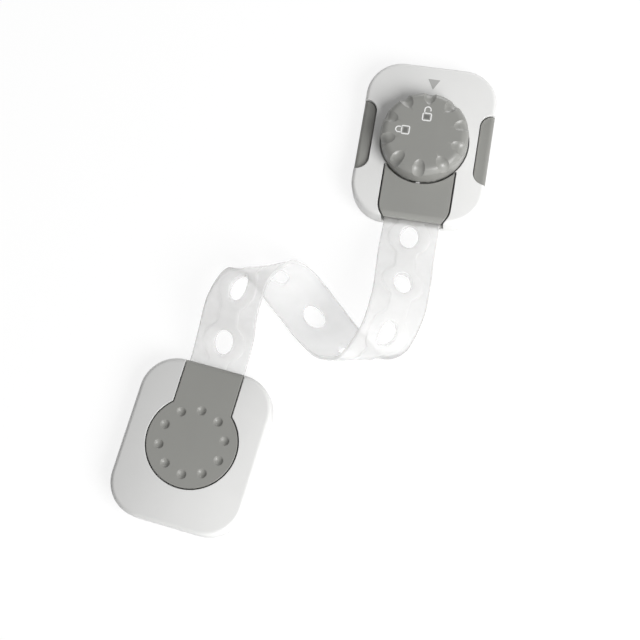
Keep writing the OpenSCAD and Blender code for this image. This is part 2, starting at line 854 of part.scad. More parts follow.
module anchor_housing() {
    color(white) place_anchor() {
        difference() {
            union() {
                difference() {
                    anchor_centre() slab(anchor_l, seam_z, face_z);
                    difference() {
                        raise(seam_z - over, face_z - wall) anchor_centre() plate_plan(anchor_l, wall);
                        raise(bed_z - floor_t, face_z)
                            keyhole_plan(pocket_r + bed_wall, neck_half + bed_wall);
                    }
                }
                intersection() {
                    anchor_centre() at_bosses(boss_x, anchor_boss_y)
                        post(boss_d, seam_z, face_z - wall / 2);
                    anchor_centre() slab(anchor_l, seam_z, face_z);
                }
            }
            raise(bed_z, face_z + over) keyhole_plan(pocket_r, neck_half);
            anchor_centre() at_bosses(boss_x, anchor_boss_y)
                post(screw_d + 2 * screw_play, seam_z - over, ceiling_z);
        }
        for (k = [1 : holes_inside]) {
            translate([0, anchor_top + hole_first - k * hole_pitch, 0])
                raise(bed_z - floor_t / 2, cover_z - strap_gap) stadium(peg_w, peg_l);
        }
    }
}

module anchor_back_plate() {
    color(white) place_anchor() anchor_centre() difference() {
        raise(pad_t, seam_z) plate_plan(anchor_l, seam_step);
        at_bosses(boss_x, anchor_boss_y) plate_screw_hole();
    }
}

module anchor_screws() {
    color(steel) place_anchor() anchor_centre() at_bosses(boss_x, anchor_boss_y) plate_screw();
}

module anchor_adhesive_pad() {
    color(foam) place_anchor() anchor_centre() raise(0, pad_t) plate_plan(anchor_l, pad_inset);
}

latch_adhesive_pad();
latch_back_plate();
latch_housing();
latch_screws();
knob();
lock_cam();
cam_screw();
detent_spring();
latch_fork();
left_button();
right_button();
left_button_spring();
right_button_spring();
tongue_cover();
tongue_base();
tongue_screws();
strap();
anchor_cap();
anchor_housing();
anchor_back_plate();
anchor_screws();
anchor_adhesive_pad();
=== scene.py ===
"""Looks of a cabinet safety lock: two white plates, grey moving pieces and a milky strap."""
import json
import math

import bmesh
import bpy
import numpy as np
from mathutils import Matrix, Vector


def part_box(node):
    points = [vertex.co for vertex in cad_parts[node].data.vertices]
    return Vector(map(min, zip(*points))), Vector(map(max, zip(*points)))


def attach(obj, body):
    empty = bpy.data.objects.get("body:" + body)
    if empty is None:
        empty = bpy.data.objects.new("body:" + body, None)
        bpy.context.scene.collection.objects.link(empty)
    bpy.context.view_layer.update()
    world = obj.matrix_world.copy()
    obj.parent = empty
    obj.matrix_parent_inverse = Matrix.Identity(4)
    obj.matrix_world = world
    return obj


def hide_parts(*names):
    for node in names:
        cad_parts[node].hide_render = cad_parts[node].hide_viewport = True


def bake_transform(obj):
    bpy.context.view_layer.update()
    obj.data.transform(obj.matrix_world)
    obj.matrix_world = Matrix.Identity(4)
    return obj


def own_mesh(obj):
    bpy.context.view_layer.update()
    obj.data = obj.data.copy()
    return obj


MM = 0.001

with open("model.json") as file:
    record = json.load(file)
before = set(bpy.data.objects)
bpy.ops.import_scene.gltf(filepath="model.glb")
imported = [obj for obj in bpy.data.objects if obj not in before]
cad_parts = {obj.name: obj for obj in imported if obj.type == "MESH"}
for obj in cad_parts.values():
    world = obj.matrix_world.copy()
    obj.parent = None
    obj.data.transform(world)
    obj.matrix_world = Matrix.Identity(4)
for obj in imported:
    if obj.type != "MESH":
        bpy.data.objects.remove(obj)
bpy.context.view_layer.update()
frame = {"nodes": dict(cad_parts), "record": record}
nodes = frame["nodes"]

# Sizes read from the frame, in millimetres
FACE_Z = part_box("latch_housing")[1].z / MM
KNOB_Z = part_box("knob")[1].z / MM
LATCH_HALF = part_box("latch_housing")[1].y / MM


# Camera of the photograph

CAMERA_AZIMUTH = math.radians(-64.82)
CAMERA_ELEVATION = math.radians(74.72)
CAMERA_ROLL = math.radians(-15.95)
CAMERA_DISTANCE = 488.86 * MM
CAMERA_TARGET = Vector((-28.63, -72.23, 0)) * MM
IMAGE_SIZE = 640
FOCAL_PIXELS = 1299.25
SENSOR = 36
CLIP_START = 0.01


def add_camera():
    back = Vector((math.cos(CAMERA_ELEVATION) * math.cos(CAMERA_AZIMUTH),
                   math.cos(CAMERA_ELEVATION) * math.sin(CAMERA_AZIMUTH),
                   math.sin(CAMERA_ELEVATION)))
    level = Vector((0, 0, 1)).cross(back).normalized()
    upright = back.cross(level)
    cos_roll = math.cos(CAMERA_ROLL)
    sin_roll = math.sin(CAMERA_ROLL)
    right = level * cos_roll + upright * sin_roll
    up = upright * cos_roll - level * sin_roll
    data = bpy.data.cameras.new("photo_camera")
    data.sensor_width = SENSOR
    data.lens = FOCAL_PIXELS * SENSOR / IMAGE_SIZE
    data.clip_start = CLIP_START
    camera = bpy.data.objects.new("photo_camera", data)
    place = CAMERA_TARGET + back * CAMERA_DISTANCE
    camera.matrix_world = Matrix((right, up, back)).transposed().to_4x4()
    camera.location = place
    bpy.context.scene.collection.objects.link(camera)
    bpy.context.scene.camera = camera


# Materials

SHADE_ATTRIBUTE = "painted_shade"
NOISE_LOW = 0.3
NOISE_HIGH = 0.7
BEVEL_SAMPLES = 6
ROUGHNESS_DRIFT = 0.05


def new_material(name):
    material = bpy.data.materials.new(name)
    material.use_nodes = True
    tree = material.node_tree
    shader = tree.nodes["Principled BSDF"]
    return material, tree, shader


def add_node(tree, kind, **values):
    node = tree.nodes.new(kind)
    for key, value in values.items():
        setattr(node, key, value)
    return node


def noise(tree, scale, detail):
    place = add_node(tree, "ShaderNodeTexCoord")
    texture = add_node(tree, "ShaderNodeTexNoise")
    texture.inputs["Scale"].default_value = scale
    texture.inputs["Detail"].default_value = detail
    tree.links.new(place.outputs["Object"], texture.inputs["Vector"])
    return texture.outputs["Fac"]


def spread(tree, value, low, high):
    """Stretch the middle of a noise to run from low to high."""
    node = add_node(tree, "ShaderNodeMapRange")
    node.inputs["From Min"].default_value = NOISE_LOW
    node.inputs["From Max"].default_value = NOISE_HIGH
    node.inputs["To Min"].default_value = low
    node.inputs["To Max"].default_value = high
    tree.links.new(value, node.inputs["Value"])
    return node.outputs["Result"]


def tinted(tree, value, dark, light):
    """Colour from dark at 0 to light at 1."""
    node = add_node(tree, "ShaderNodeMix", data_type="RGBA")
    colour_in = [s for s in node.inputs if s.type == "RGBA"]
    colour_in[0].default_value = (*dark, 1)
    colour_in[1].default_value = (*light, 1)
    tree.links.new(value, node.inputs["Factor"])
    return [s for s in node.outputs if s.type == "RGBA"][0]


def soft_edges(tree, radius):
    soft = add_node(tree, "ShaderNodeBevel")
    soft.samples = BEVEL_SAMPLES
    soft.inputs["Radius"].default_value = radius
    return soft.outputs["Normal"]


def raised(tree, normal, height, depth):
    """Normal of a relief of this depth over another normal."""
    bump = add_node(tree, "ShaderNodeBump")
    bump.inputs["Strength"].default_value = 1.0
    bump.inputs["Distance"].default_value = depth
    tree.links.new(height, bump.inputs["Height"])
    tree.links.new(normal, bump.inputs["Normal"])
    return bump.outputs["Normal"]


def crown(tree, centre, radius):
    """Height of a shallow dome about this centre, as the faces of moulded plates have."""
    place = add_node(tree, "ShaderNodeTexCoord")
    shift = add_node(tree, "ShaderNodeVectorMath", operation="SUBTRACT")
    shift.inputs[1].default_value = centre
    flat = add_node(tree, "ShaderNodeVectorMath", operation="MULTIPLY")
    flat.inputs[1].default_value = (1, 1, 0)
    square = add_node(tree, "ShaderNodeVectorMath", operation="DOT_PRODUCT")
    drop = add_node(tree, "ShaderNodeMath", operation="MULTIPLY")
    drop.inputs[1].default_value = -0.5 / radius
    tree.links.new(place.outputs["Object"], shift.inputs[0])
    tree.links.new(shift.outputs["Vector"], flat.inputs[0])
    tree.links.new(flat.outputs["Vector"], square.inputs[0])
    tree.links.new(flat.outputs["Vector"], square.inputs[1])
    tree.links.new(square.outputs["Value"], drop.inputs[0])
    return drop.outputs["Value"]


def varied_colour(tree, shader, scale, detail, dark, light):
    """Base colour that drifts between two tones."""
    drift = spread(tree, noise(tree, scale, detail), 0.0, 1.0)
    tree.links.new(tinted(tree, drift, dark, light), shader.inputs["Base Color"])


def varied_roughness(tree, shader, scale, detail, low, high):
    tree.links.new(spread(tree, noise(tree, scale, detail), low, high), shader.inputs["Roughness"])


def grained(tree, shader, scale, detail, depth, edge):
    """Normal of a fine grain over softened edges."""
    normal = raised(tree, soft_edges(tree, edge), noise(tree, scale, detail), depth)
    tree.links.new(normal, shader.inputs["Normal"])


def darker(colour, share):
    return [c * share for c in colour]


def moulded_plastic(name, colour, roughness, grain_scale, grain_depth, edge, dome=None, gloss=0.45):
    """Satin injection-moulded plastic: a fine grain, a slow drift of colour and gloss, softened edges."""
    material, tree, shader = new_material(name)
    varied_colour(tree, shader, scale=55.0, detail=3.0, dark=darker(colour, 0.965), light=colour)
    low = roughness - ROUGHNESS_DRIFT
    high = roughness + ROUGHNESS_DRIFT
    varied_roughness(tree, shader, scale=420.0, detail=6.0, low=low, high=high)
    normal = soft_edges(tree, edge)
    if dome:
        normal = raised(tree, normal, crown(tree, *dome), depth=1.0)
    normal = raised(tree, normal, noise(tree, grain_scale, detail=2.0), grain_depth)
    tree.links.new(normal, shader.inputs["Normal"])
    shader.inputs["IOR"].default_value = 1.49
    shader.inputs["Specular IOR Level"].default_value = gloss
    return material


def milky_rubber(name, clear, shaded_tone, alpha):
    """Soft see-through strap: milky, darkened towards its ends by painted shade, with a satin skin."""
    material, tree, shader = new_material(name)
    # Painted shade: the colour darkens towards the shaded tone by a value stored on the strap's points,
    # plus a faint random drift
    painted_shade = add_node(tree, "ShaderNodeAttribute", attribute_name=SHADE_ATTRIBUTE)
    shade_share = add_node(tree, "ShaderNodeMath", operation="ADD", use_clamp=True)
    tree.links.new(painted_shade.outputs["Fac"], shade_share.inputs[0])
    drift = spread(tree, noise(tree, scale=160.0, detail=4.0), low=0.0, high=0.1)
    tree.links.new(drift, shade_share.inputs[1])
    tree.links.new(tinted(tree, shade_share.outputs[0], clear, shaded_tone), shader.inputs["Base Color"])
    varied_roughness(tree, shader, scale=700.0, detail=4.0, low=0.3, high=0.4)
    grained(tree, shader, scale=2600.0, detail=2.0, depth=0.000004, edge=0.00015)
    shader.inputs["IOR"].default_value = 1.4
    shader.inputs["Specular IOR Level"].default_value = 0.35
    shader.inputs["Subsurface Weight"].default_value = 1.0
    shader.inputs["Subsurface Radius"].default_value = (1.0, 1.0, 1.0)
    shader.inputs["Subsurface Scale"].default_value = 0.008
    shader.inputs["Alpha"].default_value = alpha
    return material


def zinc_steel(name):
    material, tree, shader = new_material(name)
    shader.inputs["Metallic"].default_value = 1.0
    varied_colour(tree, shader, scale=900.0, detail=5.0, dark=(0.55, 0.56, 0.58), light=(0.7, 0.71, 0.73))
    varied_roughness(tree, shader, scale=1800.0, detail=4.0, low=0.25, high=0.42)
    grained(tree, shader, scale=3000.0, detail=2.0, depth=0.000004, edge=0.0001)
    return material


def foam_pad(name):
    material, tree, shader = new_material(name)
    varied_colour(tree, shader, scale=1500.0, detail=5.0, dark=(0.78, 0.78, 0.77), light=(0.88, 0.88, 0.87))
    varied_roughness(tree, shader, scale=900.0, detail=3.0, low=0.8, high=0.95)
    grained(tree, shader, scale=2200.0, detail=4.0, depth=0.00006, edge=0.0003)
    return material


def printed_ink(name, colour):
    material, tree, shader = new_material(name)
    varied_colour(tree, shader, scale=1400.0, detail=4.0, dark=darker(colour, 0.94), light=colour)
    varied_roughness(tree, shader, scale=900.0, detail=3.0, low=0.45, high=0.55)
    return material


WHITE = (0.83, 0.83, 0.82)
GREY_TONE = (0.3, 0.3, 0.283)
# The knob's and the tongue's tones are lighter copies of the same grey: painted light on those parts
KNOB_LIT_TONE = (0.309, 0.309, 0.292)
TONGUE_LIT_TONE = (0.34, 0.34, 0.322)
NATURAL_TONE = (0.74, 0.72, 0.66)
WHITE_GRAIN = {"roughness": 0.4, "grain_scale": 2400.0, "grain_depth": 0.000005, "edge": 0.0004}
GREY_GRAIN = {"roughness": 0.34, "grain_scale": 2200.0, "grain_depth": 0.000007, "edge": 0.0005}
KNOB_GRAIN = {"roughness": 0.34, "grain_scale": 2200.0, "grain_depth": 0.000006, "edge": 0.0002}
TONGUE_GRAIN = {"roughness": 0.36, "grain_scale": 2200.0, "grain_depth": 0.000007, "edge": 0.0005}
NATURAL_GRAIN = {"roughness": 0.38, "grain_scale": 2000.0, "grain_depth": 0.000006, "edge": 0.0003}
KNOB_GLOSS = 0.6

# Centre and radius of the faint crown of each plate's face, in metres
LATCH_DOME = ((0, 0, 0), 0.22)
ANCHOR_DOME = ((-0.05, -0.145, 0), 0.15)

LATCH_WHITE = moulded_plastic("latch_white_satin", WHITE, dome=LATCH_DOME, **WHITE_GRAIN)
ANCHOR_WHITE = moulded_plastic("anchor_white_satin", WHITE, dome=ANCHOR_DOME, **WHITE_GRAIN)
GREY = moulded_plastic("grey_satin", GREY_TONE, **GREY_GRAIN)
TONGUE_LIT_GREY = moulded_plastic("tongue_lit_grey_satin", TONGUE_LIT_TONE, **TONGUE_GRAIN)
KNOB_LIT_GREY = moulded_plastic("knob_lit_grey_satin", KNOB_LIT_TONE, gloss=KNOB_GLOSS, **KNOB_GRAIN)
NATURAL = moulded_plastic("natural_satin", NATURAL_TONE, **NATURAL_GRAIN)
CLEAR = (0.98, 0.975, 0.965)
# Darker tone of the strap's side walls: painted shade, standing in for the dimmer look of the rubber seen
# edge-on
EDGE_SHADE_TONE = (0.76, 0.76, 0.75)
# Darker tone of the painted shade near the strap's ends
SHADED_TONE = (0.5, 0.495, 0.485)
STRAP = milky_rubber("milky_strap", CLEAR, SHADED_TONE, alpha=0.38)
STRAP_SHADED_EDGE = milky_rubber("milky_strap_edge_shade", EDGE_SHADE_TONE, SHADED_TONE, alpha=0.6)
STRAP_BACK = milky_rubber("milky_strap_back", CLEAR, SHADED_TONE, alpha=0.22)
STEEL = zinc_steel("zinc_steel")
FOAM = foam_pad("foam_tape")
SIGN_WHITE = printed_ink("sign_white", (0.9, 0.9, 0.89))
SIGN_DARK = printed_ink("sign_dark", (0.18, 0.18, 0.172))
POINTER_GREY = printed_ink("pointer_grey", (0.47, 0.47, 0.46))

SLOT_MATERIALS = {
    "white_plastic": LATCH_WHITE,
    "grey_plastic": GREY,
    "natural_plastic": NATURAL,
    "clear_strap": STRAP,
    "steel": STEEL,
    "foam_tape": FOAM,
}


def dress_nodes():
    """Give each CAD part its slot's material, and some parts their own kind of it: the anchor its own dome,
    and the knob and tongue lighter copies of the grey, which are painted light.
    """
    for part in frame["record"]["subparts"]:
        slots = nodes[part["node"]].data.materials
        slots.clear()
        slots.append(SLOT_MATERIALS[part["material_slot"]])
    for name in ("anchor_housing", "anchor_back_plate"):
        nodes[name].data.materials[0] = ANCHOR_WHITE
    # Painted light: the knob and the tongue get lighter copies of the grey
    nodes["knob"].data.materials[0] = KNOB_LIT_GREY
    nodes["tongue_cover"].data.materials[0] = TONGUE_LIT_GREY


# Meshes

def new_piece(name, mesh, material, body, smooth=True):
    """An object from a bmesh, which is used up. A piece that bends between bodies has no body here."""
    bmesh.ops.recalc_face_normals(mesh, faces=mesh.faces)
    data = bpy.data.meshes.new(name)
    mesh.to_mesh(data)
    mesh.free()
    data.materials.append(material)
    for polygon in data.polygons:
        polygon.use_smooth = smooth
    piece = bpy.data.objects.new(name, data)
    bpy.context.scene.collection.objects.link(piece)
    if body:
        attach(piece, body)
    return piece


def add_tube(mesh, loops, ring=False):
    """Faces from each loop of points to the next, with both ends closed unless they meet in a ring."""
    size = len(loops[0])
    following = loops[1:] + loops[:1] if ring else loops[1:]
    for a, b in zip(loops, following):
        for i in range(size):
            n = (i + 1) % size
            mesh.faces.new((a[i], b[i], b[n], a[n]))
    if not ring:
        mesh.faces.new(loops[0])
        mesh.faces.new(loops[-1][::-1])


# Strap: the same route as its solid, in millimetres, with finer rows and softened edges

ANCHOR_LEFT = 65.6
ANCHOR_BELOW = 127.0
ANCHOR_TURN = -6.6
ANCHOR_TOP = 29.0
STRAP_Z = 8.0
STRAP_W = 21.0
STRAP_T = 2.0
BAND_T = 0.5
BAND_RING_SHARE = 0.75
BAND_NECK_SHARE = 0.37
BAND_FILLET = 0.9
BAND_SLOPE = 0.45
BAND_MARGIN = 0.8
HOLE_PITCH = 22.2
HOLE_FIRST = 10.6
HOLE_L = 10.0
HOLE_W = 6.8
HOLES_INSIDE = 2
HOLES_OUTSIDE = 8
EYE_IN = 5.8
STRAP_TAIL = 40.0
STRAP_INNER = 12.6
CURL_RISE = 15.0
END_PULL_SHARE = 1.9
EDGE_ROUND = 0.3
EDGE_BAND = 2
HOLE_LEAST = 1e-6
STRAP_MERGE = 1e-8

# Shares of the way to the latch in X and Y and of the curl's rise, then turn and lean in degrees
STRAP_SHARES = np.array([
    [0.00, 0.00, 0.00, ANCHOR_TURN, 0],
    [0.03, 0.17, 0.33, -9, -2],
    [0.06, 0.33, 0.89, -17, 11],
    [0.12, 0.51, 0.90, -11, 29],
    [0.23, 0.58, 0.27, 20, 33],
    [0.38, 0.50, -0.27, 45, 11],
    [0.53, 0.37, -0.36, 46, -4],
    [0.69, 0.24, -0.12, 41, -21],
    [0.84, 0.165, 0.41, 20, -41],
    [0.96, 0.25, 0.97, -10, -37],
    [1.01, 0.44, 0.96, -12, -21],
    [1.01, 0.62, 0.57, -5, -13],
    [1.00, 0.80, 0.20, 0, -8],
    [1.00, 1.00, 0.00, 0, 0],
])
ROUTE_STEPS = 40
FRAME_STEP = 0.6
LAND_ROWS = 15
HOLE_ROWS = 29
END_ROWS = 8
BAND_COLUMNS = 5
MARGIN_COLUMNS = 4
ROUND_SHARES = (0, 0.12, 0.35, 0.65, 1)
SLOPE_SHARES = (0, 0.2, 0.4, 0.6, 0.8, 1)

# Painted shade on the strap: how far its colour darkens towards the shaded tone, by distance from the
# anchor's mouth
SHADE_AT = [0, 18, 36, 52, 100, 118, 145, 170]
SHADE_SHARES = [0.4, 1.0, 0.55, 0.0, 0.0, 0.35, 0.55, 0.45]


def curve_rows(stations, slopes):
    """Rows of a smooth curve through the stations, with these slopes there."""
    t = np.arange(ROUTE_STEPS)[:, None] / ROUTE_STEPS
    rows = []
    for i in range(len(stations) - 1):
        rows.append(stations[i] * (2 * t**3 - 3 * t**2 + 1) + stations[i + 1] * (3 * t**2 - 2 * t**3)
                    + slopes[i] * (t**3 - 2 * t**2 + t) + slopes[i + 1] * (t**3 - t**2))
    rows.append(stations[-1:])
    return np.vstack(rows)


class StrapRoute:
    """Places and directions along the strap, by distance from the anchor's mouth."""

    def __init__(self):
        turn = math.radians(ANCHOR_TURN)
        self.low_dir = np.array([-math.sin(turn), math.cos(turn), 0])
        self.high_dir = np.array([0.0, 1.0, 0.0])
        low = np.array([-ANCHOR_LEFT, -ANCHOR_BELOW, STRAP_Z]) + ANCHOR_TOP * self.low_dir
        high = np.array([0, -LATCH_HALF, STRAP_Z])
        reach = high - low
        stations = np.empty((len(STRAP_SHARES), 5))
        stations[:, :2] = low[:2] + STRAP_SHARES[:, :2] * reach[:2]
        stations[:, 2] = low[2] + STRAP_SHARES[:, 2] * CURL_RISE
        stations[:, 3:] = STRAP_SHARES[:, 3:]
        pull = np.linalg.norm(reach) / (len(stations) - 1) * END_PULL_SHARE
        slopes = np.zeros_like(stations)
        slopes[1:-1] = (stations[2:] - stations[:-2]) / 2
        slopes[0, :3] = self.low_dir * pull
        slopes[-1, :3] = self.high_dir * pull
        self.rows = curve_rows(stations, slopes)
        steps = np.linalg.norm(np.diff(self.rows[:, :3], axis=0), axis=1)
        self.sums = np.concatenate([[0], np.cumsum(steps)])
        self.length = self.sums[-1]

    def place(self, u):
        """Point on the strap's middle line, which runs straight on past both mouths."""
        point = np.array([np.interp(u, self.sums, self.rows[:, k]) for k in range(3)])
        return point + self.low_dir * min(u, 0) + self.high_dir * max(u - self.length, 0)

    def axes(self, u):
        """Directions across the strap and out of its front."""
        along = self.place(u + FRAME_STEP) - self.place(u - FRAME_STEP)
        along /= np.linalg.norm(along)
        turn, lean = (math.radians(np.interp(u, self.sums, self.rows[:, k])) for k in (3, 4))
        guess = np.array([math.cos(lean) * math.cos(turn), math.cos(lean) * math.sin(turn), math.sin(lean)])
        across = guess - along * (guess @ along)
        across /= np.linalg.norm(across)
        return across, np.cross(across, along)


def strap_holes(route):
    """Places of the holes, of which the last is the eye inside the tongue."""
    run = [HOLE_FIRST + k * HOLE_PITCH for k in range(-HOLES_INSIDE, HOLES_OUTSIDE)]
    return run + [route.length + EYE_IN]


def hole_half(u, holes):
    """Half of the hole's width at this place, or 0 between holes."""
    gap = min(abs(u - c) for c in holes) / (HOLE_L / 2)
    return HOLE_W / 2 * math.sqrt(1 - gap * gap) if gap < 1 else 0.0


def band_half(u, holes):
    """Half of the raised band's width: rings round the holes, with a neck between them."""
    ring = BAND_RING_SHARE * STRAP_W / 2
    neck = BAND_NECK_SHARE * STRAP_W / 2
    gap = min(abs(u - c) for c in holes)
    bow = math.sqrt(max(0.0, ring * ring - gap * gap))
    return (bow + neck + math.hypot(bow - neck, BAND_FILLET)) / 2


def hole_distance(u, x, holes):
    """Distance from the nearest hole's edge, good close to that edge."""
    c = min(holes, key=lambda h: abs(u - h))
    a = HOLE_L / 2
    b = HOLE_W / 2
    q = math.hypot((u - c) / a, x / b)
    if q < 1:
        return 0.0
    return (q - 1) * q / math.hypot((u - c) / a**2, x / b**2)


def edge_drop(distance):
    """How far a rounded edge lies below the face at this distance from it."""
    if distance >= EDGE_ROUND:
        return 0.0
    return EDGE_ROUND - math.sqrt(EDGE_ROUND**2 - (EDGE_ROUND - distance) ** 2)


def smooth_step(value):
    value = min(max(value, 0.0), 1.0)
    return value * value * (3 - 2 * value)


def strap_stations(route, holes):
    """Distances of the strap's rows, close together round the holes' ends."""
    stations = []
    low = -STRAP_TAIL
    for c in holes:
        land = np.linspace(low, c - HOLE_L / 2, LAND_ROWS)
        stations += list(land[:-1])
        stations += [c - HOLE_L / 2 * math.cos(a) for a in np.linspace(0, math.pi, HOLE_ROWS)][:-1]
        low = c + HOLE_L / 2
    return stations + list(np.linspace(low, route.length + STRAP_INNER, END_ROWS))


def half_columns(inner, band, outer):
    """Places across one half of the strap, from the hole's edge or the middle to the outer edge."""
    round_in = [inner + EDGE_ROUND * s for s in ROUND_SHARES]
    flat_in = list(np.linspace(round_in[-1], band - BAND_SLOPE / 2, BAND_COLUMNS))[1:-1]
    slope = [band - BAND_SLOPE / 2 + BAND_SLOPE * s for s in SLOPE_SHARES]
    flat_out = list(np.linspace(slope[-1], outer - EDGE_ROUND, MARGIN_COLUMNS))[1:-1]
    round_out = [outer - EDGE_ROUND * s for s in reversed(ROUND_SHARES)]
    return round_in + flat_in + slope + flat_out + round_out


def strap_skin_index(k, size):
    """Material of a face by its place round a half of the strap: 0 front, 1 edges, 2 back."""
    middle = size // 2 - 1
    if abs(k - middle) <= EDGE_BAND:
        return 1
    return 0 if k < middle else 2


def strap_ring(u, inner, holes):
    """Section of one half of the strap: distances across it and heights, front first, then back."""
    outer = STRAP_W / 2
    band = min(band_half(u, holes), outer - BAND_MARGIN)
    columns = half_columns(inner, band, outer)
    front = []
    back = []
    for x in columns:
        drop = max(edge_drop(hole_distance(u, x, holes)), edge_drop(outer - x))
        rise = BAND_T * smooth_step((band + BAND_SLOPE / 2 - x) / BAND_SLOPE)
        front.append((x, STRAP_T / 2 - BAND_T + rise - drop))
        back.append((x, -STRAP_T / 2 + drop))
    return front + back[::-1]


def strap_loops(mesh, route, holes, stations):
    """Rows of points of both halves, and whether each row passes through a hole."""
    # Painted shade: how far each point's colour darkens, by its distance along the strap
    painted_shade = mesh.verts.layers.float.new(SHADE_ATTRIBUTE)
    loops = {}
    open_row = []
    for i, u in enumerate(stations):
        place = route.place(u)
        across, out = route.axes(u)
        inner = hole_half(u, holes)
        open_row.append(inner > HOLE_LEAST)
        ring = strap_ring(u, inner, holes)
        for side in (-1, 1):
            loops[i, side] = [mesh.verts.new((place + side * x * across + z * out) * MM) for x, z in ring]
            for vert in loops[i, side]:
                vert[painted_shade] = np.interp(u, SHADE_AT, SHADE_SHARES)
    return loops, open_row


def strap_faces(mesh, loops, open_row):
    """Faces along both halves. Between holes the halves meet, so that they have no inner wall there."""
    size = len(loops[0, 1])
    last = len(open_row) - 1
    for i in range(last):
        inside = open_row[i] or open_row[i + 1]
        for side in (-1, 1):
            row = loops[i, side]
            following = loops[i + 1, side]
            for k in range(size if inside else size - 1):
                n = (k + 1) % size
                corners = [row[k], row[n], following[n], following[k]]
                face = mesh.faces.new(corners if side > 0 else corners[::-1])
                face.material_index = strap_skin_index(k, size)
    for side in (-1, 1):
        mesh.faces.new(loops[0, side])
        mesh.faces.new(loops[last, side])


def strap_piece():
    route = StrapRoute()
    holes = strap_holes(route)
    mesh = bmesh.new()
    loops, open_row = strap_loops(mesh, route, holes, strap_stations(route, holes))
    strap_faces(mesh, loops, open_row)
    bmesh.ops.remove_doubles(mesh, verts=mesh.verts, dist=STRAP_MERGE)
    piece = new_piece("strap_skin", mesh, STRAP, None)
    piece.data.materials.append(STRAP_SHADED_EDGE)
    piece.data.materials.append(STRAP_BACK)
    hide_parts("strap")
    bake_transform(piece)


# Knob: a skin over its solid, whose finger dents are shallow ovals

KNOB_R = 16.5
KNOB_ROUND = 3.0
SKIN_PROUD = 0.02
SKIN_LOW = 10.5
SKIN_TOP_ROWS = (4.0, 9.0)
WALL_ROWS = 5

# Radius and height of the rows that close the skin inside the solid
SKIN_INSIDE = ((15.6, SKIN_LOW), (15.6, 17.0), (12.6, 19.3))

# Finger dents: ovals, with DENT_MIDDLE measured over the surface from the knob's middle
DENTS = 10
DENT_DEPTH = 0.9
DENT_MIDDLE = 15.1
DENT_LONG = 4.0
DENT_WIDE = 2.3
DENT_SHAPE = 0.8
DENT_ROWS = 29
DENT_LEAST = 0.3

# Where points lie, as shares of a dent's half width and of the land beside it
INSIDE_SHARES = (0.0, 0.2, 0.4, 0.58, 0.74, 0.87, 0.96, 1.0)
OUTSIDE_SHARES = (0.04, 0.2, 0.55, 1.0)


def knob_outline(s):
    """Radius, height and outward direction of the knob's surface at this distance from its middle."""
    flat = KNOB_R - KNOB_ROUND
    if s < flat:
        return s, KNOB_Z, 0.0, 1.0
    angle = (s - flat) / KNOB_ROUND
    if angle < math.pi / 2:
        nr = math.sin(angle)
        nz = math.cos(angle)
        return flat + KNOB_ROUND * nr, KNOB_Z - KNOB_ROUND + KNOB_ROUND * nz, nr, nz
    return KNOB_R, KNOB_Z - KNOB_ROUND - (s - flat - KNOB_ROUND * math.pi / 2), 1.0, 0.0


def dent_depth(s, aside):
    """Depth at this distance from the knob's middle and this far to a side of the dent's middle."""
    q = ((s - DENT_MIDDLE) / DENT_LONG) ** 2 + (aside / DENT_WIDE) ** 2
    return DENT_DEPTH * (1 - q) ** DENT_SHAPE if q < 1 else 0.0


def sector_places(s, half):
    """Distances to one side of a dent's middle, with one of them on the dent's edge."""
    along = 1 - ((s - DENT_MIDDLE) / DENT_LONG) ** 2
    edge = max(DENT_WIDE * math.sqrt(max(along, 0.0)), min(DENT_LEAST, half / 2))
    inside = [edge * share for share in INSIDE_SHARES]
    outside = [edge + (half - edge) * share for share in OUTSIDE_SHARES]
    return inside + outside


def knob_row(s):
    """Radius, angle and height of the skin's points at this distance from the knob's middle."""
    r, z, nr, nz = knob_outline(s)
    places = sector_places(s, math.pi / DENTS * r)
    across = [-p for p in places[:0:-1]] + places[:-1]
    row = []
    for k in range(DENTS):
        middle = math.pi / 2 + 2 * math.pi * k / DENTS
        for aside in across:
            out = SKIN_PROUD - dent_depth(s, abs(aside))
            row.append((r + nr * out, middle + aside / r, z + nz * out))
    return row


def knob_stations():
    """Distances of the skin's rows from the knob's middle, close together at the ends of the dents."""
    flat = KNOB_R - KNOB_ROUND
    foot = flat + KNOB_ROUND * math.pi / 2 + KNOB_Z - KNOB_ROUND - SKIN_LOW
    dent = [DENT_MIDDLE - DENT_LONG * math.cos(a) for a in np.linspace(0, math.pi, DENT_ROWS)]
    return [*SKIN_TOP_ROWS, *dent, *np.linspace(dent[-1], foot, WALL_ROWS)[1:]]


def skin_vert(mesh, radius, angle, z):
    return mesh.verts.new(Vector((radius * math.cos(angle), radius * math.sin(angle), z)) * MM)


def knob_skin():
    rows = [knob_row(s) for s in knob_stations()]
    rows += [[(r, a, z) for _, a, _ in rows[-1]] for r, z in SKIN_INSIDE]
    mesh = bmesh.new()
    add_tube(mesh, [[skin_vert(mesh, *place) for place in row] for row in rows])
    new_piece("knob_skin", mesh, KNOB_LIT_GREY, "knob")


# Button springs, which shorten, and the fork, whose arms bend with the buttons, in metres

SPRING_TURNS = 4
SPRING_WIRE = 0.5 * MM
SPRING_R = 1.45 * MM
SPRING_STEPS = 24
WIRE_SIDES = 10
FORK_ROOT_Y = 17.5 * MM
NOSE_TOP_Y = 3.0 * MM
FORK_CUTS = 8
FORK_MERGE = 1e-7


def coil_loop(mesh, x, angle, middle):
    """Points round the wire at this place along the coil and this angle about its axis."""
    loop = []
    for k in range(WIRE_SIDES):
        c = 2 * math.pi * k / WIRE_SIDES
        r = SPRING_R + SPRING_WIRE / 2 * math.cos(c)
        along = x + SPRING_WIRE / 2 * math.sin(c)
        loop.append(mesh.verts.new((along, middle.y + r * math.cos(angle), middle.z + r * math.sin(angle))))
    return loop


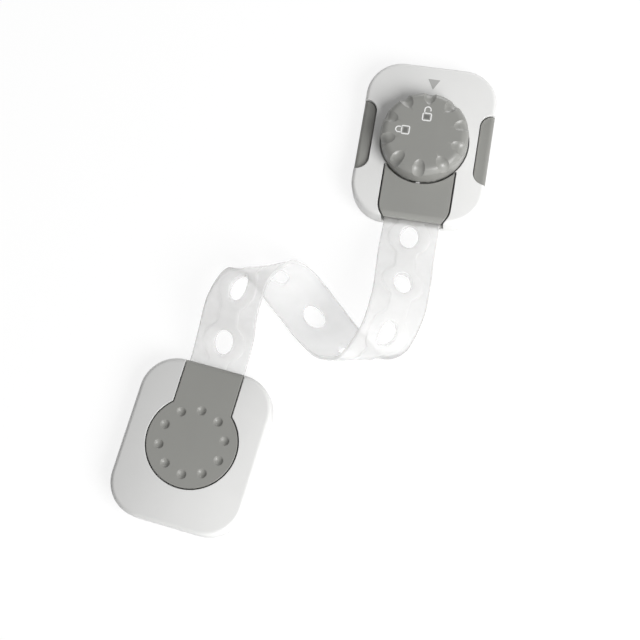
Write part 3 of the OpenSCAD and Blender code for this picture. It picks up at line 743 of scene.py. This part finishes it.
def button_spring(node, side):
    """A coil from the rib inside to the button's pocket, on this side of the knob's axis."""
    low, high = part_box(node)
    inner = low.x if side > 0 else high.x
    length = high.x - low.x
    middle = (low + high) / 2
    last = SPRING_TURNS * SPRING_STEPS
    mesh = bmesh.new()
    loops = []
    for i in range(last + 1):
        x = inner + side * (SPRING_WIRE / 2 + (length - SPRING_WIRE) * i / last)
        loops.append(coil_loop(mesh, x, 2 * math.pi * i / SPRING_STEPS, middle))
    add_tube(mesh, loops)
    piece = new_piece(node + "_coil", mesh, STEEL, "plates")
    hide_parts(node)
    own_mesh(piece)


def cut_mesh(mesh, place, normal, clear):
    """Cut along a plane, clearing what is in front of it if asked, and return the new edges."""
    everything = mesh.verts[:] + mesh.edges[:] + mesh.faces[:]
    made = bmesh.ops.bisect_plane(mesh, geom=everything, plane_co=place, plane_no=normal, clear_outer=clear)
    return [e for e in made["geom_cut"] if isinstance(e, bmesh.types.BMEdge)]


def fork_half(side, button):
    """One half of the fork, cut in rows so that its arm can bend in front of its button."""
    mesh = bmesh.new()
    mesh.from_mesh(nodes["latch_fork"].data)
    bmesh.ops.remove_doubles(mesh, verts=mesh.verts, dist=FORK_MERGE)
    rim = cut_mesh(mesh, (0, 0, 0), (-side, 0, 0), True)
    bmesh.ops.edgeloop_fill(mesh, edges=rim)
    for y in np.linspace(NOSE_TOP_Y, FORK_ROOT_Y, FORK_CUTS + 1)[:-1]:
        cut_mesh(mesh, (0, y, 0), (0, 1, 0), False)
    piece = new_piece("latch_fork_" + button, mesh, NATURAL, None, smooth=False)
    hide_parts("latch_fork")
    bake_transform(piece)


def add_inner_pieces():
    for side, name in ((-1, "left_button"), (1, "right_button")):
        button_spring(name + "_spring", side)
        fork_half(side, name)


# Signs printed on the knob and the face

SIGN_T = 0.06
SIGN_LINE = 0.45
LOCK_W = 3.6
LOCK_H = 2.9
LOCK_ROUND = 0.5
SHACKLE_W = 2.7
SHACKLE_H = 2.2
OPEN_LIFT = 0.4
OPEN_LEG_SHARE = 0.36
KEYPLATE_W = 1.9
KEYPLATE_H = 1.4
OPEN_REACH = 4.45
OPEN_SHIFT = 0
OPEN_ANGLE = 0
CLOSED_REACH = 5.7
CLOSED_SHIFT = -0.3
CLOSED_ANGLE = 90


def rounded_outline(w, h, r, steps=6):
    """A rectangle that stands on the X axis, with rounded corners."""
    right = w / 2 - r
    top = h - r
    points = []
    for quarter, (cx, cy) in enumerate(((right, top), (-right, top), (-right, r), (right, r))):
        for i in range(steps + 1):
            a = math.radians(90 * quarter + 90 * i / steps)
            points.append((cx + r * math.cos(a), cy + r * math.sin(a)))
    return points


def arch_outline(w, h, base, right_leg, steps=14):
    """Centre line of a shackle, whose right leg comes down by this share of the left one."""
    r = w / 2
    top = base + h - r
    points = [(r, top - (top - base) * right_leg)]
    for i in range(steps + 1):
        a = math.pi * i / steps
        points.append((r * math.cos(a), top + r * math.sin(a)))
    points.append((-r, base))
    return points


def stroke_faces(mesh, points, line, closed, z, turn, height):
    """A raised line of this width along the points."""
    count = len(points)
    rails = []
    for i, (x, y) in enumerate(points):
        before = points[i - 1] if closed or i else points[i]
        after = points[(i + 1) % count] if closed or i < count - 1 else points[i]
        direction = Vector((after[0] - before[0], after[1] - before[1])).normalized()
        normal = Vector((-direction.y, direction.x)) * line / 2
        row = []
        for sx, level in ((1, 0), (1, 1), (-1, 1), (-1, 0)):
            local = Vector((x + sx * normal.x, y + sx * normal.y, z + level * height)) * MM
            row.append(mesh.verts.new(turn @ local))
        rails.append(row)
    add_tube(mesh, rails, ring=closed)


def padlock(name, angle, shift, reach, is_open):
    """A padlock sign, upright towards the knob's edge at this angle from +Y."""
    mesh = bmesh.new()
    turn = Matrix.Rotation(math.radians(angle), 4, "Z")
    body = [(x + shift, y + reach) for x, y in rounded_outline(LOCK_W - SIGN_LINE, LOCK_H, LOCK_ROUND)]
    stroke_faces(mesh, body, SIGN_LINE, True, KNOB_Z, turn, SIGN_T)
    right_leg = OPEN_LEG_SHARE if is_open else 1.0
    height = SHACKLE_H + (OPEN_LIFT if is_open else 0)
    shackle = arch_outline(SHACKLE_W - SIGN_LINE, height, reach + LOCK_H, right_leg)
    stroke_faces(mesh, [(x + shift, y) for x, y in shackle], SIGN_LINE, False, KNOB_Z, turn, SIGN_T)
    new_piece(name, mesh, SIGN_WHITE, "knob", smooth=False)
    low = reach + (LOCK_H - KEYPLATE_H) / 2
    plate = rounded_outline(KEYPLATE_W, KEYPLATE_H, LOCK_ROUND / 2)
    turned = [turn @ Vector((x + shift, y + low, 0)) for x, y in plate]
    outline = [(p.x, p.y) for p in turned]
    flat_mark(name + "_keyplate", outline, KNOB_Z, SIGN_T, SIGN_DARK, "knob")


def flat_mark(name, points, z, height, material, body):
    """A raised patch with this outline."""
    mesh = bmesh.new()
    face = mesh.faces.new([mesh.verts.new(Vector((x, y, z)) * MM) for x, y in points])
    made = bmesh.ops.extrude_face_region(mesh, geom=[face])
    top = [v for v in made["geom"] if isinstance(v, bmesh.types.BMVert)]
    bmesh.ops.translate(mesh, verts=top, vec=(0, 0, height * MM))
    new_piece(name, mesh, material, body, smooth=False)


# Top of the small white nib at the knob's foot, and the pointer mark above the knob
NIB_HALF = 0.75
NIB_INNER = 16.6
NIB_OUTER = 16.95
NIB_LOW = 1.0
NIB_HIGH = 0.1
POINTER_TOP = 25.6
POINTER_TIP = 21.4
POINTER_HALF = 2.3


def add_signs():
    padlock("open_padlock_sign", OPEN_ANGLE, OPEN_SHIFT, OPEN_REACH, True)
    padlock("closed_padlock_sign", CLOSED_ANGLE, CLOSED_SHIFT, CLOSED_REACH, False)
    pointer = [(-POINTER_HALF, POINTER_TOP), (0, POINTER_TIP), (POINTER_HALF, POINTER_TOP)]
    flat_mark("pointer_mark", pointer, FACE_Z, SIGN_T, POINTER_GREY, "plates")
    nib = [(-NIB_HALF, -NIB_INNER), (-NIB_HALF, -NIB_OUTER), (NIB_HALF, -NIB_OUTER), (NIB_HALF, -NIB_INNER)]
    flat_mark("nib_top", nib, FACE_Z - NIB_LOW, NIB_LOW - NIB_HIGH, LATCH_WHITE, "plates")


# Floor and light, in metres

FLOOR_SIZE = 6.0
FLOOR_Z = -0.00005
FLOOR_SHADE = (0.2, 0.2, 0.2, 1)
FLOOR_BOUNCE = (0.85, 0.85, 0.85, 1)
FLOOR_GLOW = 0.83
GLOW_NEAR = 0.35
GLOW_FAR = 1.2


def seen_directly(tree):
    """1 where the floor is seen straight, in gloss or through the strap, 0 where it lights the object."""
    paths = add_node(tree, "ShaderNodeLightPath")
    seen = add_node(tree, "ShaderNodeMath", operation="MAXIMUM")
    clear = add_node(tree, "ShaderNodeMath", operation="MAXIMUM")
    tree.links.new(paths.outputs["Is Camera Ray"], seen.inputs[0])
    tree.links.new(paths.outputs["Is Glossy Ray"], seen.inputs[1])
    tree.links.new(seen.outputs[0], clear.inputs[0])
    tree.links.new(paths.outputs["Is Transmission Ray"], clear.inputs[1])
    return clear.outputs[0]


def paper_glow(tree):
    """The paper's own white, which takes over from the lamps' light far from the object."""
    place = add_node(tree, "ShaderNodeTexCoord")
    reach = add_node(tree, "ShaderNodeVectorMath", operation="LENGTH")
    tree.links.new(place.outputs["Object"], reach.inputs[0])
    level = add_node(tree, "ShaderNodeMapRange")
    level.inputs["From Min"].default_value = GLOW_NEAR
    level.inputs["From Max"].default_value = GLOW_FAR
    level.inputs["To Min"].default_value = FLOOR_GLOW
    level.inputs["To Max"].default_value = 1.0
    tree.links.new(reach.outputs["Value"], level.inputs["Value"])
    glow = add_node(tree, "ShaderNodeEmission")
    tree.links.new(level.outputs["Result"], glow.inputs["Strength"])
    return glow.outputs[0]


def floor_material():
    material = bpy.data.materials.new("floor_white")
    material.use_nodes = True
    tree = material.node_tree
    tree.nodes.clear()
    shade = add_node(tree, "ShaderNodeBsdfDiffuse")
    shade.inputs["Color"].default_value = FLOOR_SHADE
    shown = add_node(tree, "ShaderNodeAddShader")
    tree.links.new(shade.outputs[0], shown.inputs[0])
    tree.links.new(paper_glow(tree), shown.inputs[1])
    bounce = add_node(tree, "ShaderNodeBsdfDiffuse")
    bounce.inputs["Color"].default_value = FLOOR_BOUNCE
    mix = add_node(tree, "ShaderNodeMixShader")
    tree.links.new(seen_directly(tree), mix.inputs["Fac"])
    tree.links.new(bounce.outputs[0], mix.inputs[1])
    tree.links.new(shown.outputs[0], mix.inputs[2])
    out = add_node(tree, "ShaderNodeOutputMaterial")
    tree.links.new(mix.outputs[0], out.inputs["Surface"])
    return material


def add_floor():
    data = bpy.data.meshes.new("floor")
    half = FLOOR_SIZE / 2
    signs = ((-1, -1), (1, -1), (1, 1), (-1, 1))
    corners = [(x * half, y * half, FLOOR_Z) for x, y in signs]
    data.from_pydata(corners, [], [(0, 1, 2, 3)])
    data.materials.append(floor_material())
    floor = bpy.data.objects.new("floor", data)
    bpy.context.scene.collection.objects.link(floor)


LAMP_DISTANCE = 1.0
LAMP_SIZE = 0.55
KEY_AZIMUTH = -33
KEY_ELEVATION = 44
KEY_POWER = 9.9
BACK_AZIMUTH = 85
BACK_ELEVATION = 12
BACK_POWER = 3.6
FRONT_AZIMUTH = -50
FRONT_ELEVATION = 12
FRONT_POWER = 1.8
FILL_STRENGTH = 0.225
PAPER_WHITE = (1, 1, 1, 1)


def softbox(name, azimuth, elevation, power):
    """A square soft lamp that looks at the middle of the object from this side."""
    a = math.radians(azimuth)
    e = math.radians(elevation)
    data = bpy.data.lights.new(name, "AREA")
    data.energy = power
    data.size = LAMP_SIZE
    lamp = bpy.data.objects.new(name, data)
    direction = Vector((math.cos(e) * math.cos(a), math.cos(e) * math.sin(a), math.sin(e)))
    lamp.location = CAMERA_TARGET + direction * LAMP_DISTANCE
    lamp.rotation_euler = direction.to_track_quat("Z", "Y").to_euler()
    bpy.context.scene.collection.objects.link(lamp)


def add_lamps():
    softbox("key_softbox", KEY_AZIMUTH, KEY_ELEVATION, KEY_POWER)
    softbox("back_softbox", BACK_AZIMUTH, BACK_ELEVATION, BACK_POWER)
    softbox("front_softbox", FRONT_AZIMUTH, FRONT_ELEVATION, FRONT_POWER)


def add_world():
    """A faint even fill, behind which the camera sees white paper."""
    world = bpy.data.worlds.new("studio")
    world.use_nodes = True
    tree = world.node_tree
    fill = tree.nodes["Background"]
    fill.inputs["Color"].default_value = PAPER_WHITE
    fill.inputs["Strength"].default_value = FILL_STRENGTH
    paper = add_node(tree, "ShaderNodeBackground")
    paper.inputs["Color"].default_value = PAPER_WHITE
    paths = add_node(tree, "ShaderNodeLightPath")
    mix = add_node(tree, "ShaderNodeMixShader")
    tree.links.new(paths.outputs["Is Camera Ray"], mix.inputs["Fac"])
    tree.links.new(fill.outputs[0], mix.inputs[1])
    tree.links.new(paper.outputs[0], mix.inputs[2])
    tree.links.new(mix.outputs[0], tree.nodes["World Output"].inputs["Surface"])
    bpy.context.scene.world = world


add_camera()
dress_nodes()
strap_piece()
knob_skin()
add_inner_pieces()
add_signs()
add_floor()
add_lamps()
add_world()
bpy.context.scene.view_settings.view_transform = "Standard"
